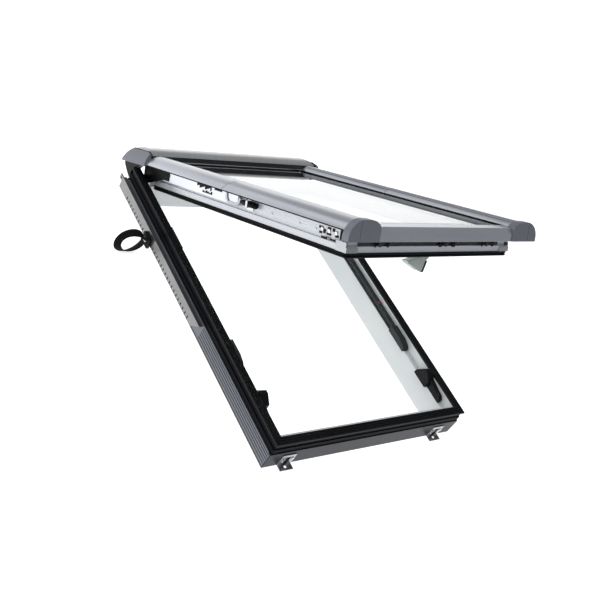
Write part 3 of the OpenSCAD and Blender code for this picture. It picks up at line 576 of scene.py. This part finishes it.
# Each mark on a case: its place along and up from the case's lower corner, then its length and height.
CASE_MARKS = ((3, 2, 9, 5), (15, 11, 6, 6), (24, 2, 12, 4), (26, 13, 9, 4), (40, 3, 6, 8), (49, 10, 10, 5),
              (50, 1, 7, 4), (12, -6, 14, 3), (36, -7, 16, 4))
for side, word in SIDES:
    x0, x1 = across(side, ARM_X, ARM_X + 2.2)
    paint(soften(open_piece(many("turn_stop_" + word, [plate(stop, x0, x1)], "arms", False)), 0.5),
          zinc)
    x0, x1 = across(side, ARM_X, ARM_X + 1.1)
    teeth = []
    for k in range(11):
        y, tall = 96 + 5.2 * k, 9 - (k * 7 % 4) * 1.7
        teeth.append(block((x0, y, 88.6 - tall), (x1, y + 2.9, 88.8)))
    for k in range(6):
        y, tall = 92 + 6.4 * k, 6 - (k * 5 % 3) * 1.6
        teeth.append(block((x0, y, 72.5), (x1, y + 3.4, 72.5 + tall)))
    for k in range(7):
        teeth.append(block((x0, 56 + 4.2 * k, 85), (x1, 58 + 4.2 * k, 88.8)))
    teeth.append(block((x0, 268, 70), (x1, 312, 84)))
    paint(open_piece(many("arm_teeth_" + word, teeth, "arms", False)), black_moulding)
    barrel = turned(DAMPER, (side * (SASH_X + 6.3), -40, 79), (0, 1, 0), 24)
    paint(open_piece(many("damper_" + word, [barrel], "sash")), black_moulding)
    (x0, x1), (x2, x3) = across(side, SASH_X, SASH_X + 13), across(side, SASH_X, SASH_X + 2)
    clamp = [block((x0, -44, 71.8), (x1, -38, 86.2)), block((x2, -52, 66), (x3, -30, 90))]
    paint(soften(open_piece(many("damper_clamp_" + word, clamp, "sash", False)), 0.4), bright)
    case_y0 = case_lo[1]
    out = SASH_X + 2.2
    marks, rollers = [], []
    for dy, dz, ly, lz in CASE_MARKS:
        a, b = across(side, out, out + 0.9) if dz >= 0 else across(side, SASH_X, SASH_X + 1.4)
        marks.append(block((a, case_y0 + dy, case_lo[2] + dz), (b, case_y0 + dy + ly, case_lo[2] + dz + lz)))
    for dy in (10, 30, 50):
        rollers.append(disc(4.2, 0.8, 1.0, (side * out, case_y0 + dy, case_lo[2] + 10), (side, 0, 0), 18))
    for dy in (-9, 71, 120, 208):
        rollers.append(disc(2.4, 0.8, 0.8, (side * SASH_X, case_y0 + dy, 74), (side, 0, 0), 14))
    paint(open_piece(many("case_marks_" + word, marks, "sash", False)), black_moulding)
    paint(open_piece(many("case_rollers_" + word, rollers, "sash")), bright)

# %% [markdown]
# ## The lower edge of the sash
# A double ribbed seal runs round the room side of the sash. The lower edge has a recess in which the
# locking cams stand, darkened by a black strip of painted shade, and the handle is a flat paddle with a dark grip
# edge.

# %% Sash seal, cam housings and handle
sash_lo, sash_hi = closed_box("sash_profile")


def round_path(x, y0, y1, radius, steps=7):
    """A rectangle with rounded corners as a closed path at the level of the sash's room side."""
    corner = np.linspace(0, np.pi / 2, steps)
    centres = ((x - radius, y1 - radius, 0), (-x + radius, y1 - radius, 1), (-x + radius, y0 + radius, 2),
               (x - radius, y0 + radius, 3))
    path, out = [], []
    for cx, cy, quarter in centres:
        angle = corner + quarter * np.pi / 2
        path += list(zip(cx + radius * np.cos(angle), cy + radius * np.sin(angle), np.full(steps, sash_lo[2])))
        out += list(zip(np.cos(angle), np.sin(angle), np.zeros(steps)))
    return np.array(path), np.array(out)


path, out = round_path(sash_hi[0] - 2, sash_lo[1] + 2, sash_hi[1] - 2, 6)
section = [(-12, 0.0), (3.6, -0.2), (4.8, -1.6), (4.4, -3.6), (2.2, -4.4), (2.2, -5.0), (4.0, -5.8), (4.2, -8.2),
           (2.6, -9.6), (-1.5, -9.8), (-3, -7.0), (-12, -6.0)]
seal = swept("sash_seal", section, opened(path), opened_way(out), opened_way([0.0, 0.0, 1.0]), "sash", wrap=True)
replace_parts(paint(seal, rubber), "sash_gasket")

# Each locking cam stands between two housings; the middle pair is wider.
CAMS = ((-150, 8), (28, 13), (150, 8))
y, foot = sash_lo[1], sash_lo[2]
# The long black strip along the recess is painted shade; the black blocks beside each cam are cam housings.
recess = [block((-180, y - 0.9, foot + 20.6), (180, y + 0.2, foot + 28.5))]
for x, wide in CAMS:
    recess += [block((x - wide, y - 1.6, foot + 10.4), (x - 6, y + 0.2, foot + 21)),
               block((x + 24, y - 1.6, foot + 10.4), (x + 24 + wide - 4, y + 0.2, foot + 21))]
paint(open_piece(many("sash_recess_shade_and_housings", recess, "sash", False)), black_moulding)

rose_lo, rose_hi = closed_box("handle_rose")
hx, hy, hz = (rose_lo[0] + rose_hi[0]) / 2, (rose_lo[1] + rose_hi[1]) / 2, rose_lo[2]


def xz_plate(outline, y0, y1):
    """An outline in x and z, carried from y0 to y1, as points and faces of a closed prism."""
    p, f = plate(outline, y0, y1)
    return p[:, [1, 0, 2]], f


PADDLE_X, PADDLE_Z = hx - 66, hz - 18
lever = [(PADDLE_X, PADDLE_Z), (PADDLE_X + 3, PADDLE_Z - 5), (PADDLE_X + 38, PADDLE_Z - 22),
         (PADDLE_X + 44, PADDLE_Z - 22), (PADDLE_X + 50, PADDLE_Z - 2), (hx + 5, hz - 2), (hx + 5, hz),
         (hx - 5, hz), (hx - 6, hz - 3), (PADDLE_X + 8, PADDLE_Z + 1)]
grip = [(PADDLE_X + 44.2, PADDLE_Z - 24), (PADDLE_X + 49, PADDLE_Z - 23), (PADDLE_X + 56, PADDLE_Z - 1),
        (PADDLE_X + 52, PADDLE_Z + 1), (PADDLE_X + 50.2, PADDLE_Z - 2)]
paddle = soften(open_piece(many("handle_paddle", [xz_plate(lever, hy - 8.5, hy + 8.5)], "handle", False)), 1.4, 3)
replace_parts(paint(paddle, handle_grey), "handle_lever")
edge = soften(open_piece(many("handle_grip", [xz_plate(grip, hy - 9, hy + 9)], "handle", False)), 1.2, 3)
paint(edge, rail_grey)

# %% [markdown]
# ## Pull straps
# A strap is a flat band of webbing sewn into a loop. Its middle line is a flattened ring that hangs from
# the wire staple, and the band leans to one side, most at one end of the loop and not at all at the other.

# %% Strap loops
# How far the middle line lies inside the plain solid, and the most that the band leans.
STRAP_IN, STRAP_LEAN = 1.6, np.radians(64)
for side, word in SIDES:
    lo, hi = rest_box("strap_" + word)
    middle = (lo + hi) / 2
    t = np.linspace(0, 2 * np.pi, 72, endpoint=False)
    half_x, half_z = (hi[0] - lo[0]) / 2 - STRAP_IN, (hi[2] - lo[2]) / 2 - STRAP_IN
    lean = -side * STRAP_LEAN * ((1 + np.cos(t)) / 2) ** 0.8
    centre = np.stack([middle[0] + side * half_x * np.cos(t), middle[1] + 2.6 * np.sin(t) * (1 + np.cos(t)),
                       middle[2] + half_z * np.sin(t) * 0.95 - 9 * np.cos(t) * 0.35], 1)
    along = np.roll(centre, -1, 0) - np.roll(centre, 1, 0)
    along /= np.linalg.norm(along, axis=1)[:, None]
    out = np.cross(along, [0, 1, 0])
    out /= np.linalg.norm(out, axis=1)[:, None]
    wide = np.array([0, 1, 0]) * np.cos(lean)[:, None] + out * np.sin(lean)[:, None]
    thick = np.cross(along, wide)
    w = (hi[1] - lo[1]) / 2 + 1.5
    band = [(-w, -0.7), (-w + 0.8, -1.1), (w - 0.8, -1.1), (w, -0.7),
            (w, 0.7), (w - 0.8, 1.1), (-w + 0.8, 1.1), (-w, 0.7)]
    loop = swept("strap_loop_" + word, band, centre, wide, thick, "adjuster_" + word, wrap=True)
    shade_smooth(loop.data)
    paint(loop, webbing)
    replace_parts(loop, "strap_" + word)

# %% [markdown]
# ## Floor and light
# The floor is a broad pale sheet just under the lowest point, and it glows a little. One large lamp hangs
# overhead, two weaker ones stand to the left and behind, and a pale world keeps the shadows open.

# %% Floor, lamps and world
floor = bpy.data.objects.new("floor", bpy.data.meshes.new("floor"))
FLOOR_Z = cad_box[0][2] - 0.0005
FLOOR_HALF = 30
corners = [(x * FLOOR_HALF, y * FLOOR_HALF, FLOOR_Z) for x, y in ((-1, -1), (1, -1), (1, 1), (-1, 1))]
floor.data.from_pydata(corners, [], [(0, 1, 2, 3)])
scene.collection.objects.link(floor)
pale = finish("floor_pale", (0.88, 0.88, 0.88), (0.9, 0.9, 0.9), (0.8, 0.9), 0, 2, 200, bump=0.02)
FLOOR_GLOW, WORLD_GLOW = 0.78, 0.36
glow = pale.node_tree.nodes["Principled BSDF"]
glow.inputs["Emission Color"].default_value = (1, 1, 1, 1)
glow.inputs["Emission Strength"].default_value = FLOOR_GLOW
floor.data.materials.append(pale)


def lamp(name, place, target, size, power):
    """A square soft lamp at a place, turned to face a target."""
    light = bpy.data.lights.new(name, "AREA")
    light.size, light.energy = size, power
    o = bpy.data.objects.new(name, light)
    scene.collection.objects.link(o)
    o.location = place
    o.rotation_mode = "QUATERNION"
    o.rotation_quaternion = (Vector(target) - Vector(place)).to_track_quat("-Z", "Y")


lamp("key", (-2.8, 0.2, 1.8), (0, 0, 0.2), 1.8, 12)
lamp("back", (-0.9, 3.2, 1.1), (-0.2, 0, 0.35), 1.6, 6)
lamp("top", (-0.3, 0.7, 2.9), (0, 0, 0.1), 3.0, 42)
world = bpy.data.worlds.new("studio")
scene.world = world
world.use_nodes = True
world.node_tree.nodes["Background"].inputs["Color"].default_value = (0.95, 0.97, 1.0, 1)
world.node_tree.nodes["Background"].inputs["Strength"].default_value = WORLD_GLOW
scene.view_settings.view_transform = "Standard"
